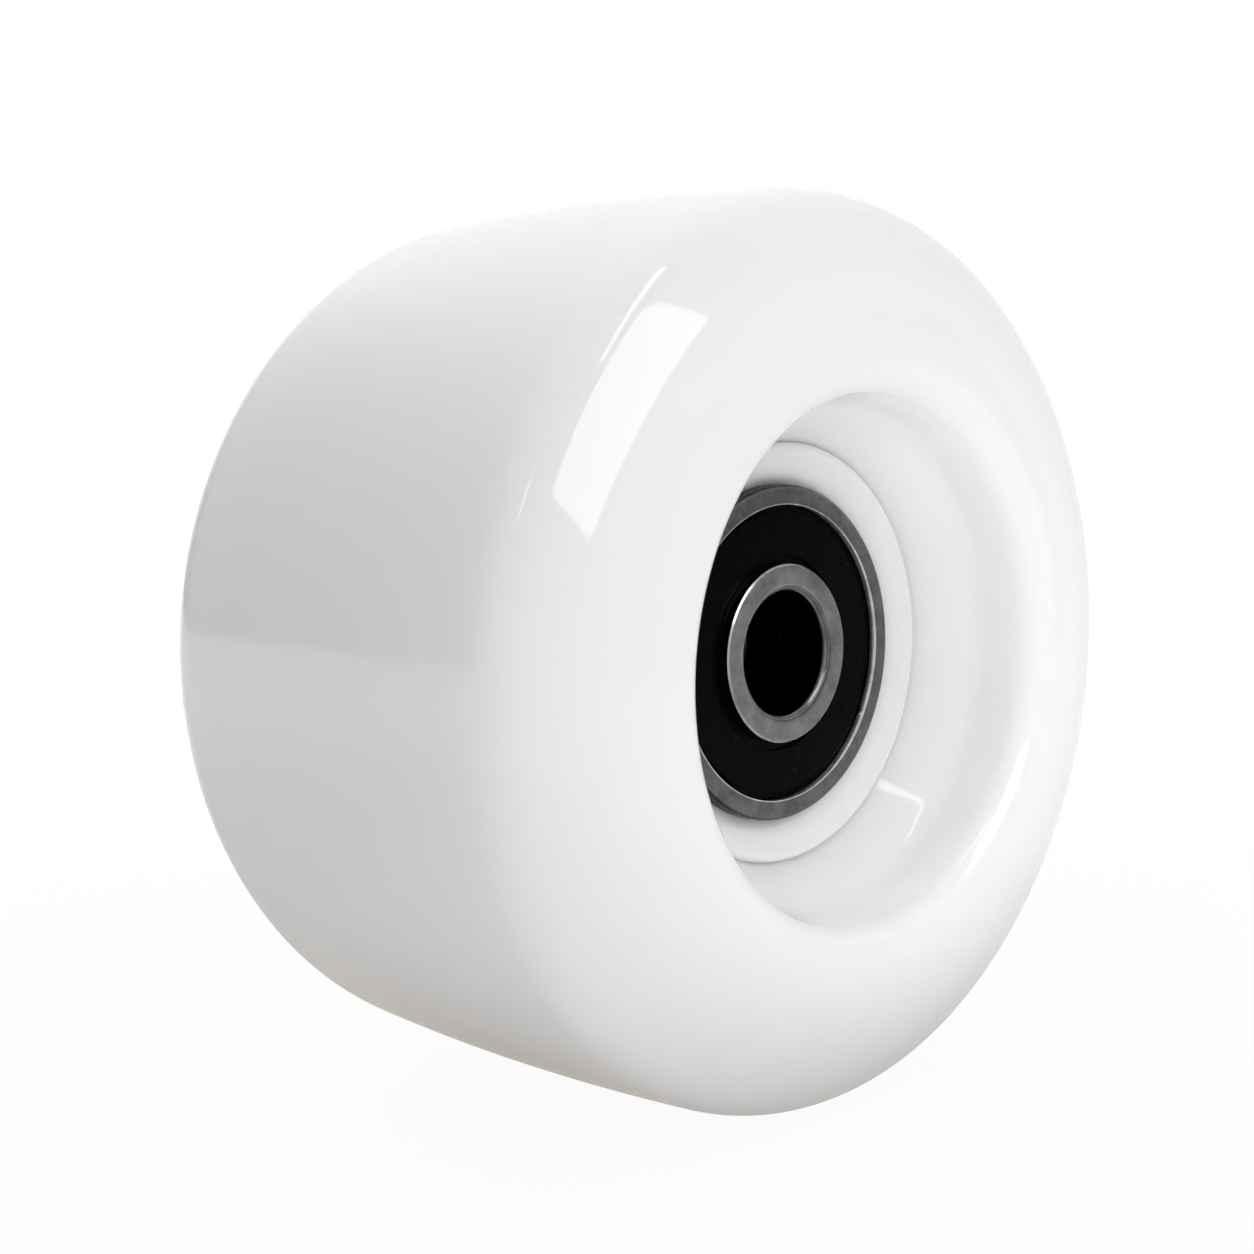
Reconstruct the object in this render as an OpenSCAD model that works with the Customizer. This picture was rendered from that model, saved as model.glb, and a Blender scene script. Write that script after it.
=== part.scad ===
// Roller skate wheel: a cast urethane tyre on a moulded hub that carries two sealed ball bearings.
// Millimetres. The axle line is the Y axis, the wheel's middle is the origin and the front faces -Y.

/* [Tyre] */
// Diameter of the tread at the middle of the wheel
wheel_d = 60; // [56:0.5:66]
// Width of the wheel over its two lips
wheel_w = 39.5; // [36:0.5:46]
// Drop of the tread from its middle to its edges
crown = 0.4; // [0.2:0.05:1]
// Radius of the shoulder between tread and face
shoulder_r = 5; // [3:0.25:7]
// Angle at which the shoulder runs into the domed face
shoulder_angle = 50; // [40:1:60]
// Diameter of the highest line of the lip
lip_d = 37.9; // [36:0.1:41]
// Radius of the lip, from the domed face into the hollow
lip_r = 2.2; // [1.8:0.1:3]
// Reach of the hollow's bowl, from the hub out to the wall below the lip
bowl_w = 2.55; // [1.5:0.05:3]
// Slope of the bowl, from a plane across the axle
bowl_angle = 56; // [45:1:62]
// Radius of the turn from the bowl into the wall
bowl_r = 4; // [2:0.25:5]

/* [Hub] */
// Outer diameter of the barrel
hub_d = 27.5; // [26:0.1:29]
// How far the hub's rims stand proud of the outer faces of the bearings
rim_proud = 0.4; // [0:0.1:1]
// Rounding of the outer edges of the rims
hub_edge_r = 0.5; // [0.3:0.1:0.8]
// Depth of the dish in each end of the hub, from the rim down to the bearing seat
dish_depth = 1.35; // [0.6:0.05:2]
// Length of the land that keeps the outer rings apart
land_w = 8; // [6:0.5:12]
// Bore of the land
land_d = 19; // [16:0.5:20]
// Number of ribs that key the tyre to the hub
rib_count = 10; // [6:1:14]
// Width of each rib
rib_w = 3; // [2:0.25:4]
// Height of each rib above the barrel
rib_h = 2.2; // [1:0.1:3]
// Length of each rib along the axle
rib_l = 15; // [8:0.5:17]

/* [Bearing rings] */
// Bore of the inner rings, for the axle
bearing_bore = 8; // [6:0.5:9]
// Outer diameter of the outer rings
bearing_od = 22; // [21:0.5:24]
// Width of the outer rings
bearing_w = 7; // [6.8:0.1:8]
// How far the inner ring stands proud of the outer ring on each side
inner_proud = 0.3; // [0:0.05:0.6]
// Corner radius on the outside of the outer ring
outer_corner_r = 0.3; // [0.1:0.05:0.5]
// Corner radius of the inner ring's bore
bore_corner_r = 0.6; // [0.2:0.05:0.8]
// Chamfer on the outer edge of the inner ring's faces
inner_edge = 0.1; // [0.05:0.05:0.2]
// Depth of the raceways below the shoulders beside them
race_depth = 0.575; // [0.4:0.025:0.7]
// Diameter of the inner ring's lands, on which the seal lips run
inner_land_d = 11.7; // [11:0.1:12]
// Length over which the inner ring rises from a land to its shoulder
land_run = 0.2; // [0.1:0.05:0.3]

/* [Balls and cage] */
// Number of balls in a bearing
ball_count = 7; // [5:1:8]
// Diameter of the balls
ball_d = 3.969; // [3.6:0.001:4.1]
// Diameter of the circle through the balls' centres
pitch_d = 15; // [14.8:0.05:15.2]
// How much the radius of the raceway grooves is over the balls' own
groove_ease = 0.075; // [0.05:0.005:0.12]
// Thickness of the cage's sheet steel
cage_t = 0.25; // [0.15:0.05:0.35]
// Width of the cage's ribbon, across the pitch circle
cage_w = 1.8; // [1.4:0.1:2.2]
// Diameter of the rivets' shanks
rivet_d = 0.6; // [0.4:0.05:0.8]
// Diameter of the rivets' heads
rivet_head_d = 1.1; // [0.9:0.05:1.3]
// Height of the rivets' heads
rivet_head_h = 0.25; // [0.15:0.05:0.4]

/* [Seals] */
// Thickness of a seal
seal_t = 0.55; // [0.4:0.05:0.6]
// Width of a seal's thin lip, inside its raised face
lip_w = 0.55; // [0.3:0.05:0.8]
// Width of a seal's bead, outside its raised face
bead_w = 0.53; // [0.4:0.01:0.8]
// Step from a seal's raised face down to its lip
lip_step = 0.25; // [0.15:0.05:0.3]
// Step from a seal's raised face down to its bead
bead_step = 0.15; // [0.1:0.05:0.25]
// Diameter of the outer ring's groove that holds a seal's bead
snap_d = 19.6; // [19:0.05:20.5]
// How far the neck that a seal snaps past stands in from the groove
neck_step = 0.25; // [0.1:0.05:0.4]
// How far the outer ring's opening widens from the neck to the face
mouth_flare = 0.15; // [0.05:0.05:0.3]
// Thickness of the steel plate in a seal
plate_t = 0.22; // [0.1:0.02:0.3]
// Rubber around the plate, at its inner and outer edges
plate_margin = 0.1; // [0.05:0.05:0.3]

/* [Axle spacer] */
// Outer diameter of the spacer
spacer_od = 10.6; // [10:0.1:11.4]
// Chamfer on the spacer's edges
spacer_edge = 0.4; // [0.1:0.1:0.6]

/* [Clearances] */
// Between the hub and the tyre cast around it
bond_gap = 0.02; // [0.01:0.01:0.05]
// Between an outer ring and its seat
seat_gap = 0.02; // [0.01:0.01:0.05]
// Between a ball and its raceways
race_gap = 0.04; // [0.03:0.01:0.06]
// Between a ball and its cage pocket
pocket_gap = 0.065; // [0.05:0.005:0.1]
// Between the cage and the seals
cage_gap = 0.2; // [0.1:0.05:0.3]
// Between a seal lip and the inner ring
seal_gap = 0.05; // [0.03:0.01:0.08]
// Between pieces that are snapped, moulded or riveted together
fixed_gap = 0.02; // [0.01:0.01:0.03]
// Between the axle and the spacer's bore
axle_gap = 0.2; // [0.16:0.02:0.4]

/* [Hidden] */
$fn = 120;
// Steps around the long, nearly flat arc of the tread
tread_fn = 1440;
// Share of its chord by which an arc reaches back into the outline that it rounds
arc_root = 0.1;
SIDES = ["front", "rear"];
BALLS = [1 : ball_count];
RING_PARTS = ["outer_ring", "inner_ring"];
SEAL_PARTS = ["outside_seal", "outside_seal_plate", "inside_seal", "inside_seal_plate"];
CAGE_PARTS = ["cage_outside_half", "cage_inside_half", "cage_rivets"];

// Bearings along the axle
bearing_mid = (land_w + bearing_w) / 2;
bearing_face = land_w / 2 + bearing_w;
inner_half = bearing_w / 2 + inner_proud;

// Hub
hub_r = hub_d / 2;
hub_end = bearing_face + rim_proud;
seat_r = bearing_od / 2 + seat_gap;

// Tyre outline in the half plane: distance from the axle, then distance along it
tread_r = wheel_d / 2;
lip_crest = [lip_d / 2, wheel_w / 2];
shoulder_reach = tread_r - crown - shoulder_r;
face_r = shoulder_r + (shoulder_reach - lip_crest[0]) / cos(shoulder_angle);
face_c = lip_crest - [0, face_r];
shoulder_c = [shoulder_reach, face_c[1] + (face_r - shoulder_r) * sin(shoulder_angle)];
crown_r = (pow(crown + shoulder_r, 2) + pow(shoulder_c[1], 2) - pow(shoulder_r, 2)) / (2 * crown);
crown_c = [tread_r - crown_r, 0];
tread_angle = atan2(shoulder_c[1], shoulder_c[0] - crown_c[0]);
tread_end = shoulder_c + shoulder_r * unit(tread_angle);
shoulder_end = shoulder_c + shoulder_r * unit(shoulder_angle);
lip_c = lip_crest - [0, lip_r];
tyre_bore_r = hub_r + bond_gap;
wall_foot = [tyre_bore_r, hub_end - hub_edge_r];
bowl_corner = wall_foot + bowl_w * [1, tan(bowl_angle)];
wall_sight = lip_c - bowl_corner;
wall_angle = atan2(wall_sight[1], wall_sight[0]) + asin(lip_r / norm(wall_sight));
wall_l = sqrt(pow(norm(wall_sight), 2) - pow(lip_r, 2));
wall_top = bowl_corner + wall_l * unit(wall_angle);
// The turn takes at most this share of the bowl's slope and of the wall
turn_share = 0.9;
turn_tan = tan((wall_angle - bowl_angle) / 2);
turn_r = min(bowl_r, turn_share * min(wall_l, norm(bowl_corner - wall_foot)) / turn_tan);
bowl_end = bowl_corner - turn_r * turn_tan * unit(bowl_angle);
wall_start = bowl_corner + turn_r * turn_tan * unit(wall_angle);
turn_c = bowl_end + turn_r * unit(bowl_angle + 90);

// Bearing sections
ball_r = ball_d / 2;
pitch_r = pitch_d / 2;
race_reach = ball_r + race_gap;
groove_r = ball_r + groove_ease;
inner_groove = pitch_r - race_reach + groove_r;
outer_groove = pitch_r + race_reach - groove_r;
inner_shoulder = pitch_r - race_reach + race_depth;
outer_shoulder = pitch_r + race_reach - race_depth;
pocket_r = ball_r + pocket_gap;
seal_bottom = pocket_r + cage_t + cage_gap;
seal_top = seal_bottom + seal_t;
seal_lip_r = inner_land_d / 2 + seal_gap;
seal_face_in = seal_lip_r + lip_w;
bead_r = snap_d / 2 - fixed_gap;
seal_face_out = bead_r - bead_w;
plate_in = seal_face_in + plate_margin;
plate_out = seal_face_out - plate_margin;

function unit(angle) = [cos(angle), sin(angle)];
function mirrored(points) = [for (i = [len(points) - 1 : -1 : 0]) [points[i][0], -points[i][1]]];
function whole(points) = concat(points, mirrored(points));
function ball_angle(i) = 90 + 360 * (i - 1) / ball_count;

// The piece of a disc beyond the chord from p to q, with a root that reaches back into the outline
module arc_segment(centre, radius, p, q, steps = $fn) {
    chord = q - p;
    outward = [-chord[1], chord[0]];
    root = -arc_root * outward;
    intersection() {
        translate(centre) circle(r = radius, $fn = steps);
        polygon([p + root, p + outward, q + outward, q + root]);
    }
}

// Turns each shape in the half plane into a ring and joins the rings
module turned() {
    for (i = [0 : $children - 1])
        rotate_extrude() children(i);
}

// A shape in the half plane and its mirror image across the wheel's or bearing's middle
module both_halves() {
    children();
    mirror([0, 1]) children();
}

// Stands a bearing piece, drawn along +Z with its outside up, in its place on the axle
module at_bearing(side) {
    s = side == "front" ? 1 : -1;
    translate([0, -s * bearing_mid, 0]) rotate([s * 90, 0, 0]) children();
}

// Lays a piece that is drawn around Z along the axle
module on_axle() {
    rotate([90, 0, 0]) children();
}

module ribs(spare = 0) {
    for (i = [0 : rib_count - 1])
        rotate([0, 0, 360 * i / rib_count])
            translate([hub_r - rib_h, -rib_w / 2 - spare, -rib_l / 2 - spare])
                cube([2 * rib_h + spare, rib_w + 2 * spare, rib_l + 2 * spare]);
}

module tyre() {
    color("white") on_axle() difference() {
        turned() {
            polygon(whole([
                wall_foot,
                bowl_end,
                wall_start,
                wall_top,
                lip_crest,
                shoulder_end,
                tread_end
            ]));
            arc_segment(crown_c, crown_r, tread_end, [tread_end[0], -tread_end[1]], tread_fn);
            both_halves() arc_segment(shoulder_c, shoulder_r, shoulder_end, tread_end);
            both_halves() arc_segment(face_c, face_r, lip_crest, shoulder_end);
            both_halves() arc_segment(lip_c, lip_r, wall_top, lip_crest);
        }
        turned() both_halves() arc_segment(turn_c, turn_r, wall_start, bowl_end);
        ribs(bond_gap);
    }
}

module hub() {
    edge_low = [hub_r, hub_end - hub_edge_r];
    edge_high = [hub_r - hub_edge_r, hub_end];
    color("whitesmoke") on_axle() {
        turned() {
            polygon(whole([
                edge_low,
                edge_high,
                [seat_r, hub_end - dish_depth],
                [seat_r, land_w / 2],
                [land_d / 2, land_w / 2]
            ]));
            both_halves() arc_segment([edge_high[0], edge_low[1]], hub_edge_r, edge_high, edge_low);
        }
        ribs();
    }
}

module axle_spacer() {
    outside = spacer_od / 2;
    bore = bearing_bore / 2 + axle_gap;
    half = bearing_mid - inner_half;
    color("dimgray") on_axle() turned() polygon(whole([
        [bore, half - spacer_edge / 2],
        [bore + spacer_edge / 2, half],
        [outside - spacer_edge, half],
        [outside, half - spacer_edge]
    ]));
}

module outer_ring() {
    half = bearing_w / 2;
    outside = bearing_od / 2;
    groove = snap_d / 2;
    groove_top = seal_top - bead_step + fixed_gap;
    neck = groove - neck_step;
    mouth = neck + mouth_flare;
    corner = min(outer_corner_r, (outside - mouth) / 2);
    edge_low = [outside, half - corner];
    edge_high = [outside - corner, half];
    color("silver") difference() {
        turned() {
            polygon(whole([
                [outer_shoulder, seal_bottom - fixed_gap],
                [groove, seal_bottom - fixed_gap],
                [groove, groove_top],
                [neck, groove_top],
                [neck, (groove_top + half) / 2],
                [mouth, half],
                edge_high,
                edge_low
            ]));
            both_halves() arc_segment([edge_high[0], edge_low[1]], corner, edge_high, edge_low);
        }
        turned() translate([outer_groove, 0]) circle(r = groove_r);
    }
}

module inner_ring() {
    bore = bearing_bore / 2;
    land = inner_land_d / 2;
    edge_low = [bore, inner_half - bore_corner_r];
    edge_high = [bore + bore_corner_r, inner_half];
    color("silver") difference() {
        turned() {
            polygon(whole([
                edge_low,
                edge_high,
                [land - inner_edge, inner_half],
                [land, inner_half - inner_edge],
                [land, seal_bottom],
                [inner_shoulder, seal_bottom - land_run]
            ]));
            both_halves() arc_segment([edge_high[0], edge_low[1]], bore_corner_r, edge_low, edge_high);
        }
        turned() translate([inner_groove, 0]) circle(r = groove_r);
    }
}

module seal() {
    pocket_in = plate_in - fixed_gap;
    pocket_out = plate_out + fixed_gap;
    color("black") turned() polygon([
        [seal_lip_r, seal_bottom],
        [seal_lip_r, seal_top - lip_step],
        [seal_face_in, seal_top - lip_step],
        [seal_face_in, seal_top],
        [seal_face_out, seal_top],
        [seal_face_out, seal_top - bead_step],
        [bead_r, seal_top - bead_step],
        [bead_r, seal_bottom],
        [pocket_out, seal_bottom],
        [pocket_out, seal_bottom + plate_t],
        [pocket_in, seal_bottom + plate_t],
        [pocket_in, seal_bottom]
    ]);
}

module seal_plate() {
    color("gray") turned() translate([plate_in, seal_bottom]) square([plate_out - plate_in, plate_t]);
}

module ball(i) {
    color("lightgray") rotate([0, 0, ball_angle(i)]) translate([pitch_r, 0, 0]) sphere(r = ball_r);
}

// Places a shape at each ball, or half way to the next one
module around_balls(step = 0) {
    for (i = BALLS)
        rotate([0, 0, ball_angle(i + step)]) translate([pitch_r, 0, 0]) children();
}

// A flat ring around the pitch circle
module ring(width, height) {
    turned() translate([pitch_r - width / 2, 0]) square([width, height]);
}

module dome(radius) {
    turned() intersection() {
        circle(r = radius);
        square(2 * radius);
    }
}

// Flat webs and domed pockets, trimmed to the ribbon's width
module cage_half() {
    color("darkgray") difference() {
        intersection() {
            ring(cage_w, 2 * pocket_r);
            union() {
                ring(2 * cage_w, cage_t);
                around_balls() dome(pocket_r + cage_t);
            }
        }
        around_balls() sphere(r = pocket_r);
        around_balls(0.5) cylinder(d = rivet_d + 2 * fixed_gap, h = 4 * cage_t, center = true);
    }
}

module cage_rivets() {
    color("gray") around_balls(0.5) turned() polygon(whole([
        [0, cage_t + rivet_head_h],
        [rivet_d / 2, cage_t + rivet_head_h],
        [rivet_head_d / 2, cage_t + rivet_head_h / 2],
        [rivet_head_d / 2, cage_t],
        [rivet_d / 2, cage_t]
    ]));
}

// The inward half or side of a bearing piece
module inward() {
    mirror([0, 0, 1]) children();
}

tyre();
hub();
axle_spacer();
for (s = SIDES) {
    at_bearing(s) outer_ring();
    at_bearing(s) inner_ring();
    at_bearing(s) seal();
    at_bearing(s) seal_plate();
    at_bearing(s) inward() seal();
    at_bearing(s) inward() seal_plate();
    at_bearing(s) cage_half();
    at_bearing(s) inward() cage_half();
    at_bearing(s) cage_rivets();
    for (i = BALLS)
        at_bearing(s) ball(i);
}
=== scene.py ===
"""Looks of the roller skate wheel: turned skins, procedural finishes, studio light and camera."""
import math

import bmesh
import bpy
from mathutils import Matrix, Vector


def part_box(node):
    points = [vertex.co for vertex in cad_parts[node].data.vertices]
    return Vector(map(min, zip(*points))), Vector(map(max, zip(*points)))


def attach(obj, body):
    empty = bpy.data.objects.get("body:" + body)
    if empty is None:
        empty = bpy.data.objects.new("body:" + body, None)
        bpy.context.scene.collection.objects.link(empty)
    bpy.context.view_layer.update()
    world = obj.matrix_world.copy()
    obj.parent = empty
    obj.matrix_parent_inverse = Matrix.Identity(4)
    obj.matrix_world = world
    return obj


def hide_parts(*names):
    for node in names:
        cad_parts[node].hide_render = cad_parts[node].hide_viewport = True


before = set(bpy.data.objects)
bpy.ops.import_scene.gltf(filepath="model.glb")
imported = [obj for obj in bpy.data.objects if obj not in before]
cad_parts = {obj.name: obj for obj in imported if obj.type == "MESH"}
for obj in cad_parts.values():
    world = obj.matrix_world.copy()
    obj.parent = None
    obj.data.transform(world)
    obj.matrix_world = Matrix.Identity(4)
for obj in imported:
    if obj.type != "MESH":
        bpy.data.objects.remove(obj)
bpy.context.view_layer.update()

MM = 0.001
# Which way each bearing lies from the wheel's middle, and each seal from its bearing's middle
SIDES = {"front": -1, "rear": 1}
SEAL_SIDES = {"outside": 1, "inside": -1}

# Sizes read from the frame
tyre_low, tyre_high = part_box("tyre")
TREAD_R = tyre_high.z
LIP_Y = tyre_high.y
FLOOR_Z = tyre_low.z
_, hub_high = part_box("hub")
HUB_END = hub_high.y
ring_low, ring_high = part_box("rear_outer_ring")
BEARING_R = ring_high.z
BEARING_MID = (ring_low.y + ring_high.y) / 2
BEARING_HALF = ring_high.y - BEARING_MID
_, inner_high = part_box("rear_inner_ring")
INNER_HALF = inner_high.y - BEARING_MID
seal_low, seal_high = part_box("rear_outside_seal")
SEAL_TOP = seal_high.y - BEARING_MID
SEAL_BOTTOM = seal_low.y - BEARING_MID
BEAD_R = seal_high.z
_, spacer_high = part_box("axle_spacer")
SPACER_R = spacer_high.z
SPACER_HALF = spacer_high.y

# Sizes of the tyre's outline, as in the solid
CROWN = 0.4 * MM
SHOULDER_R = 5.0 * MM
SHOULDER_ANGLE = math.radians(50)
LIP_CREST_R = 18.95 * MM
LIP_ROUND = 2.2 * MM
BOWL_REACH = 2.55 * MM
BOWL_ANGLE = math.radians(56)
BOWL_TURN = 4.0 * MM

# Sizes of the hub, as in the solid apart from the bond's gap, which is finer here
HUB_R = 13.75 * MM
HUB_EDGE = 0.5 * MM
DISH_DEPTH = 1.35 * MM
BOND_GAP = 0.004 * MM
SEAT_GAP = 0.02 * MM
LAND_R = 9.5 * MM
LAND_HALF = BEARING_MID - BEARING_HALF
RIB_COUNT = 10
RIB_WIDTH = 3.0 * MM
RIB_HEIGHT = 2.2 * MM
RIB_LENGTH = 15.0 * MM

# Sizes of the bearing's rings
BORE_R = 4.0 * MM
BORE_CORNER = 0.6 * MM
INNER_EDGE = 0.1 * MM
INNER_LAND_R = 5.85 * MM
LAND_RUN = 0.2 * MM
OUTER_CORNER = 0.3 * MM
SNAP_R = 9.8 * MM
NECK_STEP = 0.25 * MM
MOUTH_FLARE = 0.15 * MM
NECK_R = SNAP_R - NECK_STEP
MOUTH_R = NECK_R + MOUTH_FLARE
FIXED_GAP = 0.02 * MM

# Sizes of the raceways, which follow the balls
BALL_R = 1.9845 * MM
RACE_GAP = 0.04 * MM
GROOVE_EASE = 0.075 * MM
RACE_DEPTH = 0.575 * MM
PITCH_R = 7.5 * MM
RACE_REACH = BALL_R + RACE_GAP
GROOVE_R = BALL_R + GROOVE_EASE

# Sizes of the seals, with the pocket for each seal's plate
SEAL_GAP = 0.05 * MM
LIP_WIDTH = 0.55 * MM
BEAD_WIDTH = 0.53 * MM
LIP_STEP = 0.25 * MM
BEAD_STEP = 0.15 * MM
POCKET_MARGIN = 0.08 * MM
POCKET_DEPTH = 0.22 * MM

# Sizes of the spacer
SPACER_BORE_R = 4.2 * MM
SPACER_EDGE = 0.4 * MM
SPACER_BORE_EDGE = 0.2 * MM

# Steps around the axle and along the stretches of an outline
TURN_STEPS = 256
CROWN_STEPS = 12
TYRE_ARC_STEPS = 28
BOWL_TURN_STEPS = 14
BOWL_STEPS = 8
HUB_EDGE_STEPS = 12
OUTER_CORNER_STEPS = 8
BORE_CORNER_STEPS = 10
GROOVE_STEPS = 10
# Edges that bend by more than this stay sharp
SHARP_ANGLE = math.radians(32)


def past(edge, *stops):
    """Stops of a grey scale by distance from the axle, given as (millimetres past an edge, grey)."""
    return [(edge + offset * MM, tone) for offset, tone in stops]


# Greys of the bearing's steel, with painted light and shade: a painted dark bore with painted glints on its
# turned corner, faces with painted bright edges, and painted shade in the seat
STEEL_GREYS_AND_PAINTED_LIGHT = [
    *past(BORE_R, (0.01, 0.02), (0.06, 0.08), (0.14, 0.27), (0.22, 0.08)),
    *past(BORE_R, (0.32, 0.24), (0.4, 0.1), (0.5, 0.3), (0.62, 0.27)),
    *past(INNER_LAND_R, (-0.15, 0.27), (-0.09, 0.5)),
    *past(MOUTH_R, (-0.2, 0.85), (0.02, 0.8), (0.08, 0.16)),
    *past(BEARING_R, (-0.3, 0.17), (-0.2, 0.22), (-0.1, 0.05), (0.2, 0.04)),
]
# Share of the steel's roughness that is left, less at the edges than on the faces
STEEL_POLISH = [
    *past(BORE_R, (0.6, 0.7), (0.65, 1.0)),
    *past(INNER_LAND_R, (-0.15, 1.0), (-0.09, 0.5)),
    *past(MOUTH_R, (-0.2, 0.35), (0.02, 0.35), (0.08, 1.0)),
    *past(BEARING_R, (0.2, 1.0)),
]
# How white the urethane is, fitted by tone: painted light that makes the hollow, and most of all its steep
# wall, whiter than the face and tread, to lift the shade there
URETHANE_PAINTED_LIGHT = [
    *past(HUB_R, (1.85, 0.97), (2.45, 0.99), (3.25, 0.99), (3.95, 0.9)),
    *past(TREAD_R, (0, 0.9)),
]
# The range that most noise values lie in
NOISE_LOW, NOISE_HIGH = 0.3, 0.7
# Refraction of urethane, plastic and rubber
PLASTIC_IOR = 1.5

# Camera: the wheel's middle as the camera sees it, and the lens
VIEW_AZIMUTH = math.radians(-45.37)
VIEW_ELEVATION = math.radians(5.38)
CENTRE_RIGHT = 2.4586 * MM
CENTRE_DOWN = 0.9878 * MM
CENTRE_AHEAD = 135.652 * MM
SENSOR_MM = 36.0
LENS_MM = 56.27
CLIP_START, CLIP_END = 0.005, 50.0

# Studio: the floor, the room's dark side, lamps, panels and a card. Lengths are in metres.
# Azimuth is in degrees to the right of the camera, elevation in degrees above the floor.
FLOOR_HALF = 3.0
FLOOR_TONE = 0.7
# Share of the floor's white that needs no light, close to the wheel and far from it
GLOW_NEAR, GLOW_FAR = 0.95, 1.0
# Distances between which that share changes
SHADOW_NEAR, SHADOW_FAR = 0.03, 0.13
# The dark side: where it lies, how dark it is, and the angles between which it fades out
DARK_AZIMUTH, DARK_ELEVATION = -100, 2
DARK_TONE = 0.12
DARK_CORE, DARK_RIM = math.radians(22), math.radians(62)
# Distances along the floor between which reflections see it fade into the dark side
FADE_NEAR, FADE_FAR = 0.3, 1.5
# A painted shadow on the floor under the tread, which only reflections see
CONTACT_AZIMUTH, CONTACT_OFFSET = -60, 0.03
CONTACT_SHADOW_TONE = (0.6, 0.54, 0.48)
CONTACT_NEAR, CONTACT_FAR = 0.04, 0.11
# Distance of lamps and panels, and how wide the wheel sees each lamp in degrees
LAMP_DISTANCE = 0.6
LAMP_ANGLE = 40
# Lamps that light the wheel and are not reflected: azimuth, elevation and watts
LAMPS = {
    "front_fill": (0, 8, 2.1),
    "key_fill": (45, 50, 0.48),
    "right_fill": (90, 45, 1.28),
    "top_fill": (0, 90, 0.6),
    "left_rim": (-135, 45, 2.55),
}
# A lamp just above the floor that shines up at the face
BOUNCE_AZIMUTH, BOUNCE_DISTANCE = 55, 0.07
BOUNCE_HEIGHT = 1 * MM
BOUNCE_WIDTH = 0.06
BOUNCE_WATTS = 0.019
# Panels that are only reflected: azimuth, elevation, width, height and roll in degrees, and radiance
PANELS = {
    "softbox": (33, 40, 29, 42, -39, 4.5),
    "strip": (22, 72, 30, 4, 68, 5.0),
    "left_spot": (-29, 33, 3, 9, -13, 4.0),
}
# The grey card that steel and gloss reflect: distance, azimuths, elevations and tone
CARD_DISTANCE = 0.25
CARD_LEFT, CARD_RIGHT = 50, 107
CARD_LOW, CARD_HIGH = -7, 20
CARD_TONE = 0.6


# Outlines

def unit(angle):
    return Vector((math.cos(angle), math.sin(angle)))


def arc(centre, radius, start, end, steps):
    """Points on an arc in the half plane, from one angle to another."""
    centre = Vector(centre)
    return [centre + radius * unit(start + (end - start) * i / steps) for i in range(steps + 1)]


def line(start, end, steps):
    """Points on a straight stretch, without its first point."""
    start, end = Vector(start), Vector(end)
    return [start.lerp(end, (i + 1) / steps) for i in range(steps)]


def both_sides(points):
    """An outline's upper half, joined to its mirror image."""
    points = [Vector(p) for p in points]
    return points + [Vector((p.x, -p.y)) for p in reversed(points)]


def at_bearing(outline, side, outside=1):
    """Moves an outline that is drawn about a bearing's middle, outside up, to its place on the axle."""
    return [Vector((p.x, side * (BEARING_MID + outside * p.y))) for p in outline]


# Meshes

def turned(name, outline):
    """A ring around the axle from a closed outline of points (distance from the axle, place along it)."""
    count = len(outline)
    verts = []
    for i in range(TURN_STEPS):
        angle = 2 * math.pi * (i + 0.5) / TURN_STEPS
        verts += [(p.x * math.cos(angle), p.y, p.x * math.sin(angle)) for p in outline]
    faces = []
    for i in range(TURN_STEPS):
        a, b = i * count, (i + 1) % TURN_STEPS * count
        faces += [(a + j, a + (j + 1) % count, b + (j + 1) % count, b + j) for j in range(count)]
    return finished(name, verts, faces)


def block(name, low, high):
    """A box between two corners, used as a cutter or as a rib."""
    corners = [(x, y, z) for x in (low.x, high.x) for y in (low.y, high.y) for z in (low.z, high.z)]
    faces = [(0, 1, 3, 2), (4, 6, 7, 5), (0, 4, 5, 1), (2, 3, 7, 6), (0, 2, 6, 4), (1, 5, 7, 3)]
    return finished(name, corners, faces)


def finished(name, verts, faces):
    """Builds a mesh with its faces outward and smooth between sharp edges, and puts it into the scene."""
    mesh = bpy.data.meshes.new(name)
    mesh.from_pydata(verts, [], faces)
    work = bmesh.new()
    work.from_mesh(mesh)
    bmesh.ops.recalc_face_normals(work, faces=work.faces)
    work.to_mesh(mesh)
    work.free()
    smooth(mesh)
    return into_scene(name, mesh)


def smooth(mesh):
    mesh.shade_smooth()
    mesh.set_sharp_from_angle(angle=SHARP_ANGLE)


def into_scene(name, data):
    piece = bpy.data.objects.new(name, data)
    bpy.context.scene.collection.objects.link(piece)
    return piece


def joined(piece, others, operation):
    """Cuts other meshes from a piece or adds them to it, and keeps only the result."""
    for other in others:
        modifier = piece.modifiers.new("join", "BOOLEAN")
        modifier.operation = operation
        modifier.solver = "EXACT"
        modifier.object = other
    graph = bpy.context.evaluated_depsgraph_get()
    mesh = bpy.data.meshes.new_from_object(piece.evaluated_get(graph))
    piece.modifiers.clear()
    piece.data = mesh
    smooth(mesh)
    for other in others:
        bpy.data.objects.remove(other)
    return piece


def even_normals(piece):
    """Keeps the flat faces beside a rounded edge flat in shading."""
    modifier = piece.modifiers.new("even_normals", "WEIGHTED_NORMAL")
    modifier.mode = "FACE_AREA"
    modifier.weight = 100
    modifier.keep_sharp = True
    return piece


# Pieces of the wheel

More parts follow.
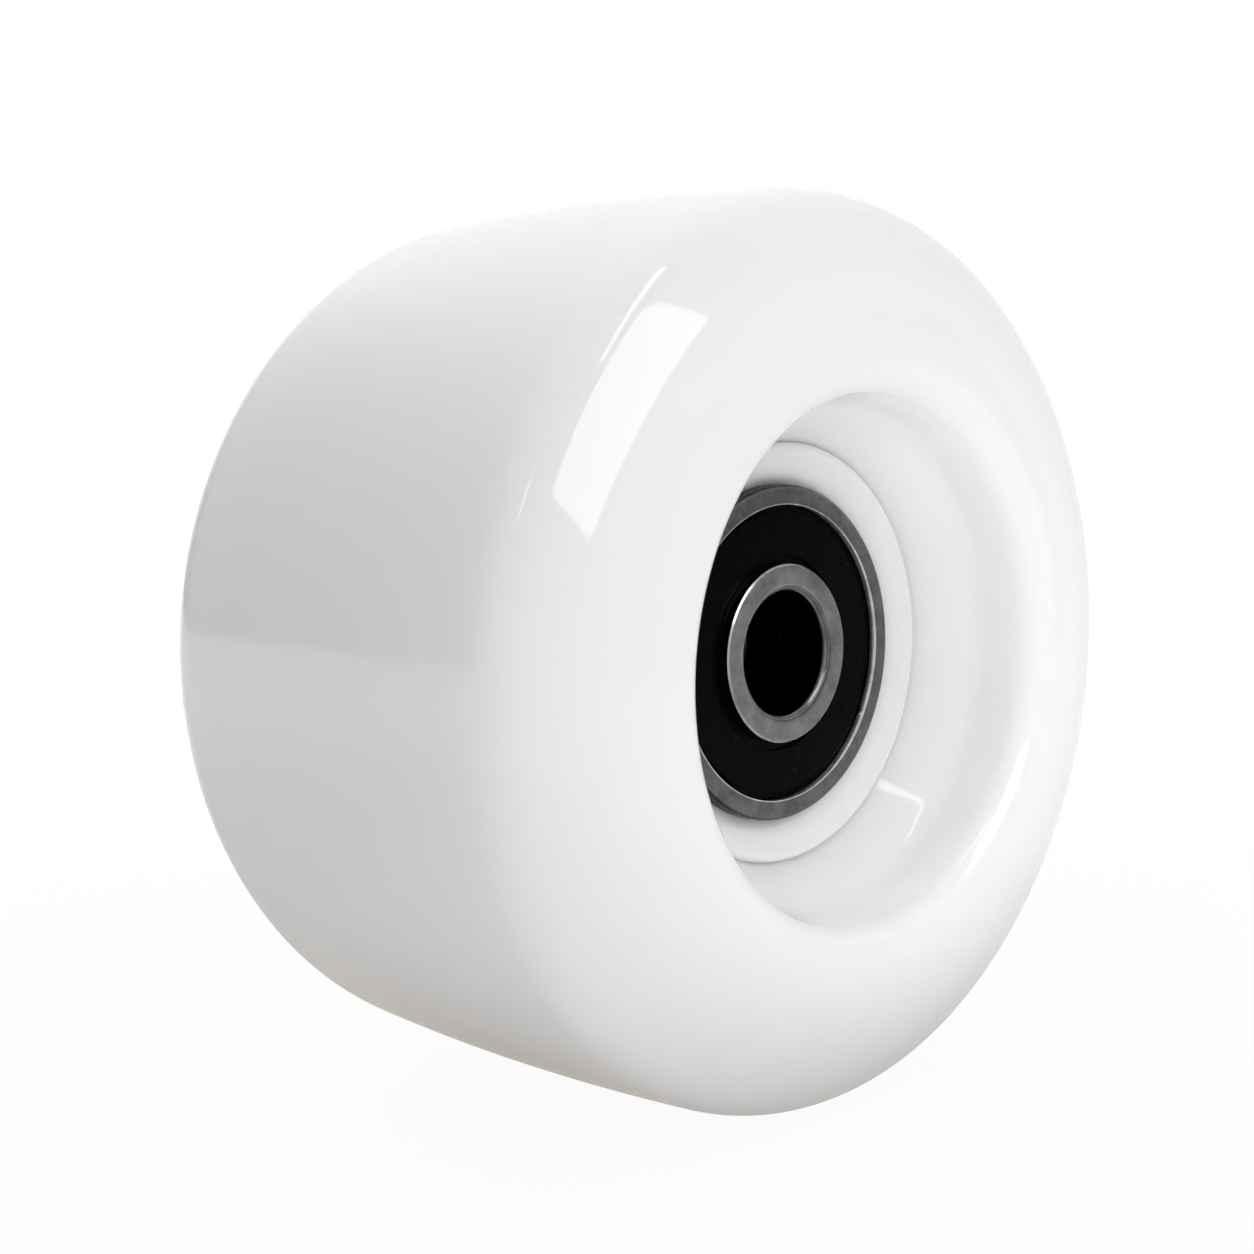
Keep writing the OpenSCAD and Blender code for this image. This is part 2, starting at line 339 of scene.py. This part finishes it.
def ribs(spare):
    """The keying ribs around the hub, or the room for them in the tyre."""
    blocks = []
    half = Vector((RIB_HEIGHT, RIB_LENGTH / 2, RIB_WIDTH / 2)) + Vector((spare, spare, spare))
    for i in range(RIB_COUNT):
        rib = block(f"rib_{i}", -half, half)
        turn = Matrix.Rotation(2 * math.pi * i / RIB_COUNT, 4, "Y")
        rib.data.transform(turn @ Matrix.Translation((HUB_R, 0, 0)))
        blocks.append(rib)
    return blocks


def tyre_skin():
    """The tyre: tangent arcs from the crown over shoulder, face and lip into the bowl beside the hub."""
    reach = TREAD_R - CROWN - SHOULDER_R
    face_r = SHOULDER_R + (reach - LIP_CREST_R) / math.cos(SHOULDER_ANGLE)
    face_c = Vector((LIP_CREST_R, LIP_Y - face_r))
    shoulder_c = Vector((reach, face_c.y + (face_r - SHOULDER_R) * math.sin(SHOULDER_ANGLE)))
    crown_r = ((CROWN + SHOULDER_R) ** 2 + shoulder_c.y ** 2 - SHOULDER_R ** 2) / (2 * CROWN)
    crown_c = Vector((TREAD_R - crown_r, 0))
    tread_angle = math.atan2(shoulder_c.y, shoulder_c.x - crown_c.x)
    lip_c = Vector((LIP_CREST_R, LIP_Y - LIP_ROUND))
    foot = Vector((HUB_R + BOND_GAP, HUB_END - HUB_EDGE))
    corner = foot + BOWL_REACH * Vector((1, math.tan(BOWL_ANGLE)))
    sight = lip_c - corner
    wall_angle = math.atan2(sight.y, sight.x) + math.asin(LIP_ROUND / sight.length)
    bowl_end = corner - BOWL_TURN * math.tan((wall_angle - BOWL_ANGLE) / 2) * unit(BOWL_ANGLE)
    turn_c = bowl_end + BOWL_TURN * unit(BOWL_ANGLE + math.pi / 2)
    half = arc(crown_c, crown_r, 0, tread_angle, CROWN_STEPS)[1:-1]
    half += arc(shoulder_c, SHOULDER_R, tread_angle, SHOULDER_ANGLE, TYRE_ARC_STEPS)[:-1]
    half += arc(face_c, face_r, SHOULDER_ANGLE, math.pi / 2, TYRE_ARC_STEPS)[:-1]
    half += arc(lip_c, LIP_ROUND, math.pi / 2, wall_angle + math.pi / 2, TYRE_ARC_STEPS)
    half += arc(turn_c, BOWL_TURN, wall_angle - math.pi / 2, BOWL_ANGLE - math.pi / 2, BOWL_TURN_STEPS)
    half += line(bowl_end, foot, BOWL_STEPS)
    piece = turned("tyre_skin", both_sides(half)[::-1])
    return joined(piece, ribs(BOND_GAP), "DIFFERENCE")


def hub_core():
    """The hub: a land between the bearing seats, a dished rim with a round edge, and the ribs."""
    seat_r = BEARING_R + SEAT_GAP
    edge_c = (HUB_R - HUB_EDGE, HUB_END - HUB_EDGE)
    half = [(LAND_R, LAND_HALF), (seat_r, LAND_HALF), (seat_r, HUB_END - DISH_DEPTH)]
    half += arc(edge_c, HUB_EDGE, math.pi / 2, 0, HUB_EDGE_STEPS)
    piece = turned("hub_core", both_sides(half))
    return even_normals(joined(piece, ribs(0), "UNION"))


def spacer_sleeve():
    """The sleeve between the inner rings, with broken edges."""
    half = [(SPACER_BORE_R, SPACER_HALF - SPACER_BORE_EDGE)]
    half += [(SPACER_BORE_R + SPACER_BORE_EDGE, SPACER_HALF), (SPACER_R - SPACER_EDGE, SPACER_HALF)]
    half += [(SPACER_R, SPACER_HALF - SPACER_EDGE)]
    return turned("spacer_sleeve", both_sides(half))


def outer_ring_outline():
    """Raceway, ledge and snap groove for the seal, flared mouth and round outer corner."""
    groove_top = SEAL_TOP - BEAD_STEP + FIXED_GAP
    ledge = SEAL_BOTTOM - FIXED_GAP
    shoulder = PITCH_R + RACE_REACH - RACE_DEPTH
    groove_c = Vector((PITCH_R + RACE_REACH - GROOVE_R, 0))
    groove_angle = math.acos((shoulder - groove_c.x) / GROOVE_R)
    corner_c = (BEARING_R - OUTER_CORNER, BEARING_HALF - OUTER_CORNER)
    half = arc(groove_c, GROOVE_R, 0, groove_angle, GROOVE_STEPS)[1:]
    half += [(shoulder, ledge), (SNAP_R, ledge), (SNAP_R, groove_top), (NECK_R, groove_top)]
    half += [(NECK_R, (groove_top + BEARING_HALF) / 2), (MOUTH_R, BEARING_HALF)]
    half += arc(corner_c, OUTER_CORNER, math.pi / 2, 0, OUTER_CORNER_STEPS)
    return both_sides(half)


def inner_ring_outline():
    """Round bore corner, ground face, land for the seal's lip and raceway."""
    shoulder = PITCH_R - RACE_REACH + RACE_DEPTH
    groove_c = Vector((PITCH_R - RACE_REACH + GROOVE_R, 0))
    groove_angle = math.acos((groove_c.x - shoulder) / GROOVE_R)
    corner_c = (BORE_R + BORE_CORNER, INNER_HALF - BORE_CORNER)
    half = arc(corner_c, BORE_CORNER, math.pi, math.pi / 2, BORE_CORNER_STEPS)
    half += [(INNER_LAND_R - INNER_EDGE, INNER_HALF), (INNER_LAND_R, INNER_HALF - INNER_EDGE)]
    half += [(INNER_LAND_R, SEAL_BOTTOM), (shoulder, SEAL_BOTTOM - LAND_RUN)]
    half += arc(groove_c, GROOVE_R, math.pi - groove_angle, math.pi, GROOVE_STEPS)[:-1]
    return both_sides(half)


def seal_outline():
    """Lip beside the inner ring, raised face, bead in the outer ring's groove and pocket for the plate."""
    lip_r = INNER_LAND_R + SEAL_GAP
    lip_top = SEAL_TOP - LIP_STEP
    bead_top = SEAL_TOP - BEAD_STEP
    face_in, face_out = lip_r + LIP_WIDTH, BEAD_R - BEAD_WIDTH
    pocket_in, pocket_out = face_in + POCKET_MARGIN, face_out - POCKET_MARGIN
    pocket_top = SEAL_BOTTOM + POCKET_DEPTH
    outline = [(lip_r, SEAL_BOTTOM), (lip_r, lip_top), (face_in, lip_top), (face_in, SEAL_TOP)]
    outline += [(face_out, SEAL_TOP), (face_out, bead_top), (BEAD_R, bead_top), (BEAD_R, SEAL_BOTTOM)]
    outline += [(pocket_out, SEAL_BOTTOM), (pocket_out, pocket_top)]
    outline += [(pocket_in, pocket_top), (pocket_in, SEAL_BOTTOM)]
    return [Vector(p) for p in outline]


# Shader building blocks

def grey(tone):
    return (tone, tone, tone)


WHITE = grey(1)


def add(tree, kind, inputs=(), **settings):
    """A shader node with its settings, and its inputs as values or as links."""
    node = tree.nodes.new("ShaderNode" + kind)
    for key, value in settings.items():
        setattr(node, key, value)
    for key, value in dict(inputs).items():
        if isinstance(value, bpy.types.NodeSocket):
            tree.links.new(value, node.inputs[key])
        else:
            node.inputs[key].default_value = value
    return node


def new_material(name, **values):
    """A principled material with its constant values set on the shader."""
    material = bpy.data.materials.new(name)
    material.use_nodes = True
    tree = material.node_tree
    shader = tree.nodes["Principled BSDF"]
    for key, value in values.items():
        shader.inputs[key.replace("_", " ")].default_value = value
    return material, tree, shader


def new_glow(name):
    """A material without any nodes yet, whose glow isn't treated as a lamp."""
    material = bpy.data.materials.new(name)
    material.cycles.emission_sampling = "NONE"
    material.use_nodes = True
    tree = material.node_tree
    tree.nodes.clear()
    return material, tree


def link(tree, shader, **sockets):
    for key, socket in sockets.items():
        tree.links.new(socket, shader.inputs[key.replace("_", " ")])


def position(tree):
    return add(tree, "TexCoord").outputs["Object"]


def combined(tree, operation, first, second):
    """One number from two."""
    return add(tree, "Math", {0: first, 1: second}, operation=operation).outputs[0]


def measured(tree, operation, *vectors):
    """A number from one or two vectors, such as a length, a distance or a dot product."""
    return add(tree, "VectorMath", dict(enumerate(vectors)), operation=operation).outputs["Value"]


def mixed(tree, factor, first, second, **settings):
    """A colour mixed from two."""
    inputs = {"Factor": factor, "A": first, "B": second}
    return add(tree, "Mix", inputs, data_type="RGBA", **settings).outputs["Result"]


def multiply(tree, first, second):
    return mixed(tree, 1.0, first, second, blend_type="MULTIPLY")


def radius(tree):
    """Distance from the axle."""
    parts = add(tree, "SeparateXYZ", {"Vector": position(tree)})
    flat = add(tree, "CombineXYZ", {"X": parts.outputs["X"], "Y": parts.outputs["Z"]})
    return measured(tree, "LENGTH", flat.outputs[0])


def noise(tree, scale, detail, roughness=0.5, vector=None):
    inputs = {"Vector": vector or position(tree), "Scale": scale, "Detail": detail, "Roughness": roughness}
    return add(tree, "TexNoise", inputs).outputs["Fac"]


def ring_noise(tree, scale, detail):
    """Noise that depends on the distance from the axle alone, as turning or grinding leaves it."""
    vector = add(tree, "CombineXYZ", {"X": radius(tree)}).outputs[0]
    return noise(tree, scale, detail, roughness=0.6, vector=vector)


def spread(tree, value, low, high, start=NOISE_LOW, end=NOISE_HIGH):
    """Maps a value, most often noise, to a range."""
    inputs = {"Value": value, "From Min": start, "From Max": end, "To Min": low, "To Max": high}
    return add(tree, "MapRange", inputs).outputs["Result"]


def blend(tree, value, low, high, start=NOISE_LOW, end=NOISE_HIGH):
    """A colour between two, by a value that is most often noise."""
    ramp = add(tree, "ValToRGB", {"Fac": value})
    first, last = ramp.color_ramp.elements
    first.position, last.position = start, end
    first.color, last.color = (*low, 1), (*high, 1)
    return ramp.outputs["Color"]


def by_radius(tree, zones):
    """A grey by the distance from the axle, from a list of (distance, grey)."""
    reach, _ = zones[-1]
    ramp = add(tree, "ValToRGB", {"Fac": spread(tree, radius(tree), low=0, high=1, start=0, end=reach)})
    for i, (distance, tone) in enumerate(zones):
        stops = ramp.color_ramp.elements
        stop = stops[i] if i < len(stops) else stops.new(distance / reach)
        stop.position = distance / reach
        stop.color = (*grey(tone), 1)
    return ramp.outputs["Color"]


def bump(tree, height, depth, strength=1.0, normal=None):
    inputs = {"Height": height, "Distance": depth, "Strength": strength}
    if normal:
        inputs["Normal"] = normal
    return add(tree, "Bump", inputs).outputs["Normal"]


# Finishes of the wheel

def urethane():
    """Cast urethane: glossy, with depth, faint clouds, a surface that swells a little, and painted light
    that whitens the hollow.
    """
    material, tree, shader = new_material(
        "urethane",
        IOR=PLASTIC_IOR, Subsurface_Weight=0.8, Subsurface_Scale=6 * MM, Subsurface_Radius=(1, 1, 1))
    clouds = noise(tree, scale=70, detail=3)
    white = blend(tree, clouds, low=(0.977, 0.983, 0.988), high=(0.99, 0.995, 1))
    # Painted light: the urethane is whiter in the hollow by distance from the axle, to lift the shade there
    tone = multiply(tree, white, by_radius(tree, URETHANE_PAINTED_LIGHT))
    gloss = spread(tree, noise(tree, scale=240, detail=4), low=0.03, high=0.06)
    swell = bump(tree, noise(tree, scale=55, detail=1), depth=0.03 * MM)
    link(tree, shader, Base_Color=tone, Roughness=gloss, Normal=swell)
    return material


def hub_plastic():
    """Moulded plastic: satin, with a fine grain."""
    material, tree, shader = new_material(
        "hub_plastic",
        IOR=PLASTIC_IOR, Subsurface_Weight=0.8, Subsurface_Scale=3 * MM, Subsurface_Radius=(1, 1, 1))
    clouds = noise(tree, scale=160, detail=3)
    tone = blend(tree, clouds, low=(0.85, 0.86, 0.87), high=(0.89, 0.895, 0.9))
    gloss = spread(tree, noise(tree, scale=500, detail=3), low=0.14, high=0.24)
    grain = bump(tree, noise(tree, scale=2600, detail=2), depth=0.004 * MM)
    link(tree, shader, Base_Color=tone, Roughness=gloss, Normal=grain)
    return material


def ground_steel():
    """Face-ground steel: fine rings, a cloudy tone, painted bright edges, and painted shade in the bore and
    seat.
    """
    material, tree, shader = new_material("ground_steel", Metallic=1.0)
    rings = blend(tree, ring_noise(tree, scale=9000, detail=3), low=grey(0.8), high=WHITE)
    clouds = noise(tree, scale=650, detail=6, roughness=0.7)
    cloudy = blend(tree, clouds, low=(0.6, 0.6, 0.61), high=WHITE, start=0.35, end=0.65)
    # The steel's own greys, with painted shade in the bore and seat and painted highlights on the edges and
    # the bore's corner
    tone = multiply(tree, multiply(tree, rings, cloudy), by_radius(tree, STEEL_GREYS_AND_PAINTED_LIGHT))
    ground = spread(tree, noise(tree, scale=900, detail=5), low=0.2, high=0.38)
    gloss = combined(tree, "MULTIPLY", ground, by_radius(tree, STEEL_POLISH))
    lines = bump(tree, ring_noise(tree, scale=22000, detail=2), depth=0.003 * MM)
    nicks = spread(tree, noise(tree, scale=1700, detail=3), low=0.0, high=1.0, start=0.68, end=0.74)
    surface = bump(tree, nicks, depth=0.03 * MM, strength=0.5, normal=lines)
    link(tree, shader, Base_Color=tone, Roughness=gloss, Normal=surface)
    return material


def polished_steel():
    """The balls' smooth, bright steel."""
    material, tree, shader = new_material("polished_steel", Metallic=1.0)
    clouds = noise(tree, scale=900, detail=3)
    tone = blend(tree, clouds, low=(0.6, 0.6, 0.61), high=(0.68, 0.68, 0.69))
    gloss = spread(tree, noise(tree, scale=1500, detail=3), low=0.05, high=0.1)
    link(tree, shader, Base_Color=tone, Roughness=gloss)
    return material


def pressed_steel():
    """Dull sheet steel with a grain."""
    material, tree, shader = new_material("pressed_steel", Metallic=1.0)
    clouds = noise(tree, scale=1200, detail=4)
    tone = blend(tree, clouds, low=(0.42, 0.41, 0.39), high=(0.55, 0.54, 0.52))
    gloss = spread(tree, noise(tree, scale=2200, detail=3), low=0.28, high=0.45)
    grain = bump(tree, noise(tree, scale=5200, detail=2), depth=0.003 * MM)
    link(tree, shader, Base_Color=tone, Roughness=gloss, Normal=grain)
    return material


def seal_rubber():
    """Smooth black rubber with a few pale scuffs."""
    material, tree, shader = new_material("seal_rubber", IOR=PLASTIC_IOR, Specular_IOR_Level=0.02)
    clouds = noise(tree, scale=1100, detail=5)
    black = blend(tree, clouds, low=(0.0008, 0.0009, 0.0014), high=(0.0016, 0.0018, 0.0026))
    pale = (0.06, 0.06, 0.064, 1)
    patches = noise(tree, scale=420, detail=6, roughness=0.65)
    scuffs = spread(tree, patches, low=0.0, high=0.5, start=0.67, end=0.74)
    tone = mixed(tree, scuffs, black, pale)
    gloss = spread(tree, noise(tree, scale=900, detail=4), low=0.18, high=0.28)
    lines = bump(tree, ring_noise(tree, scale=7000, detail=2), depth=0.003 * MM)
    link(tree, shader, Base_Color=tone, Roughness=gloss, Normal=lines)
    return material


def spacer_near_black():
    """The spacer's dull near-black."""
    material, tree, shader = new_material("spacer_near_black", Specular_IOR_Level=0.15)
    clouds = noise(tree, scale=800, detail=4)
    tone = blend(tree, clouds, low=(0.003, 0.003, 0.0032), high=(0.006, 0.006, 0.0062))
    gloss = spread(tree, noise(tree, scale=1600, detail=3), low=0.4, high=0.6)
    link(tree, shader, Base_Color=tone, Roughness=gloss)
    return material


def set_finish(piece, material):
    piece.data.materials.clear()
    piece.data.materials.append(material)


def place(piece, body, node, material):
    """Lets a piece stand for a node: it rides the node's body and takes its finish."""
    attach(piece, body)
    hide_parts(node)
    set_finish(piece, material)


def dress_wheel():
    """Puts the turned pieces in place of their nodes and finishes the nodes that stay."""
    steel = ground_steel()
    rubber = seal_rubber()
    plate_steel = pressed_steel()
    cage_steel = plate_steel.copy()
    cage_steel.name = "cage_steel"
    ball_steel = polished_steel()
    place(tyre_skin(), "wheel", "tyre", urethane())
    place(hub_core(), "wheel", "hub", hub_plastic())
    place(spacer_sleeve(), "axle_set", "axle_spacer", spacer_near_black())
    for name, side in SIDES.items():
        outer = even_normals(turned(f"{name}_outer_race", at_bearing(outer_ring_outline(), side)))
        inner = even_normals(turned(f"{name}_inner_race", at_bearing(inner_ring_outline(), side)))
        place(outer, "wheel", f"{name}_outer_ring", steel)
        place(inner, "axle_set", f"{name}_inner_ring", steel)
        for where, outside in SEAL_SIDES.items():
            node = f"{name}_{where}_seal"
            seal = turned(f"{node}_rubber", at_bearing(seal_outline(), side, outside))
            place(seal, "wheel", node, rubber)
    finishes = {"seal_plate": plate_steel, "cage": cage_steel, "ball": ball_steel}
    for node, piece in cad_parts.items():
        for part, material in finishes.items():
            if part in node:
                set_finish(piece, material)


# Studio

def toward(azimuth, elevation):
    """Direction from the wheel: degrees to the right of the camera, and degrees above the floor."""
    level = VIEW_AZIMUTH - math.pi / 2 + math.radians(azimuth)
    height = math.radians(elevation)
    flat = Vector((math.cos(level), math.sin(level), 0))
    return flat * math.cos(height) + Vector((0, 0, math.sin(height)))


def facing(azimuth, elevation, roll=0):
    """Where a lamp or panel stands that faces the wheel, with its X across and its Y upward."""
    away = toward(azimuth, elevation)
    turn = away.to_track_quat("Z", "Y").to_matrix() @ Matrix.Rotation(math.radians(roll), 3, "Z")
    return Matrix.Translation(away * LAMP_DISTANCE) @ turn.to_4x4()


def seen_size(angle):
    """How wide a lamp or panel is that the wheel sees at an angle in degrees."""
    return 2 * LAMP_DISTANCE * math.tan(math.radians(angle) / 2)


def rectangle(x, y, z=0):
    """Corners of a level rectangle with half sizes x and y, at height z."""
    return [Vector(corner) for corner in ((-x, -y, z), (x, -y, z), (x, y, z), (-x, y, z))]


def seen_directly(tree):
    """One where the ray comes from the camera, a reflection or a clear body, and zero for diffuse light."""
    rays = add(tree, "LightPath").outputs
    seen = combined(tree, "MAXIMUM", rays["Is Camera Ray"], rays["Is Glossy Ray"])
    return combined(tree, "MAXIMUM", seen, rays["Is Transmission Ray"])


def reflected(tree):
    """One where the ray comes from a reflection."""
    return add(tree, "LightPath").outputs["Is Glossy Ray"]


def floor_white():
    """White where it is seen, with the wheel's shadow kept and a painted shadow under the tread in
    reflections, and a plain pale surface to other light.
    """
    material, tree = new_glow("floor_white")
    spot = position(tree)
    share = spread(tree, measured(tree, "LENGTH", spot), GLOW_NEAR, GLOW_FAR, SHADOW_NEAR, SHADOW_FAR)
    # A painted shadow under the tread, seen only in reflections
    from_contact = measured(tree, "DISTANCE", spot, toward(CONTACT_AZIMUTH, 0) * CONTACT_OFFSET)
    contact_shadow = blend(tree, from_contact, CONTACT_SHADOW_TONE, WHITE, CONTACT_NEAR, CONTACT_FAR)
    to_dark = measured(tree, "DOT_PRODUCT", spot, toward(DARK_AZIMUTH, 0))
    fade = spread(tree, to_dark, 1.0, DARK_TONE, FADE_NEAR, FADE_FAR)
    mirror_tone = add(tree, "VectorMath", {0: contact_shadow, "Scale": fade}, operation="SCALE").outputs[0]
    tone = mixed(tree, reflected(tree), (*WHITE, 1), mirror_tone)
    matt = add(tree, "BsdfDiffuse", {"Color": (*grey(FLOOR_TONE), 1)})
    glow = add(tree, "Emission", {"Color": tone, "Strength": 1.0})
    glow_share = combined(tree, "MULTIPLY", seen_directly(tree), share)
    mix = add(tree, "MixShader", {0: glow_share, 1: matt.outputs[0], 2: glow.outputs[0]})
    add(tree, "OutputMaterial", {"Surface": mix.outputs[0]})
    return material


def even_glow(name, strength):
    """A faintly clouded glow of one strength, whatever the lamps do."""
    material, tree = new_glow(name)
    tone = blend(tree, noise(tree, scale=8, detail=2), low=grey(0.96), high=WHITE)
    glow = add(tree, "Emission", {"Color": tone, "Strength": strength})
    add(tree, "OutputMaterial", {"Surface": glow.outputs[0]})
    return material


def stage_plane(name, corners, material):
    mesh = bpy.data.meshes.new(name)
    mesh.from_pydata(corners, [], [tuple(range(len(corners)))])
    mesh.materials.append(material)
    plane = into_scene(name, mesh)
    return plane


def only_reflected(plane):
    plane.visible_camera = False
    plane.visible_diffuse = False
    plane.visible_shadow = False


def make_floor():
    stage_plane("floor", rectangle(FLOOR_HALF, FLOOR_HALF, FLOOR_Z), floor_white())


def make_card():
    """The card stands upright and square to its middle direction."""
    middle = toward((CARD_LEFT + CARD_RIGHT) / 2, 0)
    rays = [toward(CARD_LEFT, CARD_LOW), toward(CARD_RIGHT, CARD_LOW)]
    rays += [toward(CARD_RIGHT, CARD_HIGH), toward(CARD_LEFT, CARD_HIGH)]
    corners = [ray * (CARD_DISTANCE / ray.dot(middle)) for ray in rays]
    only_reflected(stage_plane("card", corners, even_glow("card_grey", CARD_TONE)))


def make_panels():
    for name, (azimuth, elevation, width, height, roll, radiance) in PANELS.items():
        spot = facing(azimuth, elevation, roll)
        corners = [spot @ corner for corner in rectangle(seen_size(width) / 2, seen_size(height) / 2)]
        only_reflected(stage_plane(name, corners, even_glow(name + "_white", radiance)))


def make_world():
    """No light of its own: white where it is seen, and dark to one side in reflections."""
    world = bpy.data.worlds.new("studio")
    world.use_nodes = True
    bpy.context.scene.world = world
    tree = world.node_tree
    tree.nodes.clear()
    direction = add(tree, "TexCoord").outputs["Generated"]
    to_dark = measured(tree, "DOT_PRODUCT", direction, toward(DARK_AZIMUTH, DARK_ELEVATION))
    inputs = {"Value": to_dark, "From Min": math.cos(DARK_RIM), "From Max": math.cos(DARK_CORE)}
    dark = add(tree, "MapRange", inputs, interpolation_type="SMOOTHSTEP").outputs["Result"]
    dark_share = combined(tree, "MULTIPLY", dark, reflected(tree))
    tone = blend(tree, dark_share, WHITE, grey(DARK_TONE), start=0, end=1)
    black = add(tree, "Background", {"Color": (0, 0, 0, 1), "Strength": 0.0})
    white = add(tree, "Background", {"Color": tone, "Strength": 1.0})
    mix = add(tree, "MixShader", {0: seen_directly(tree), 1: black.outputs[0], 2: white.outputs[0]})
    add(tree, "OutputWorld", {"Surface": mix.outputs[0]})


def square_lamp(name, width, watts, spot):
    """A lamp that gives light but is neither seen nor reflected itself."""
    lamp = bpy.data.lights.new(name, "AREA")
    lamp.shape = "SQUARE"
    lamp.size = width
    lamp.energy = watts
    piece = into_scene(name, lamp)
    piece.matrix_world = spot
    piece.visible_camera = False
    piece.visible_glossy = False


def make_lamps():
    for name, (azimuth, elevation, watts) in LAMPS.items():
        square_lamp(name, seen_size(LAMP_ANGLE), watts, facing(azimuth, elevation))
    bounce = toward(BOUNCE_AZIMUTH, 0) * BOUNCE_DISTANCE + Vector((0, 0, FLOOR_Z + BOUNCE_HEIGHT))
    upward = Matrix.Rotation(math.pi, 4, "X")
    square_lamp("face_bounce", BOUNCE_WIDTH, BOUNCE_WATTS, Matrix.Translation(bounce) @ upward)


def make_camera():
    right = Vector((math.cos(VIEW_AZIMUTH), math.sin(VIEW_AZIMUTH), 0))
    level = Vector((-math.sin(VIEW_AZIMUTH), math.cos(VIEW_AZIMUTH), 0))
    ahead = level * math.cos(VIEW_ELEVATION) - Vector((0, 0, math.sin(VIEW_ELEVATION)))
    up = right.cross(ahead)
    data = bpy.data.cameras.new("camera")
    data.sensor_fit = "HORIZONTAL"
    data.sensor_width = SENSOR_MM
    data.lens = LENS_MM
    data.clip_start = CLIP_START
    data.clip_end = CLIP_END
    camera = into_scene("camera", data)
    turn = Matrix((right, up, -ahead)).transposed().to_4x4()
    spot = -(right * CENTRE_RIGHT - up * CENTRE_DOWN + ahead * CENTRE_AHEAD)
    camera.matrix_world = Matrix.Translation(spot) @ turn
    bpy.context.scene.camera = camera


dress_wheel()
make_floor()
make_world()
make_card()
make_panels()
make_lamps()
make_camera()
bpy.context.scene.view_settings.view_transform = "Standard"
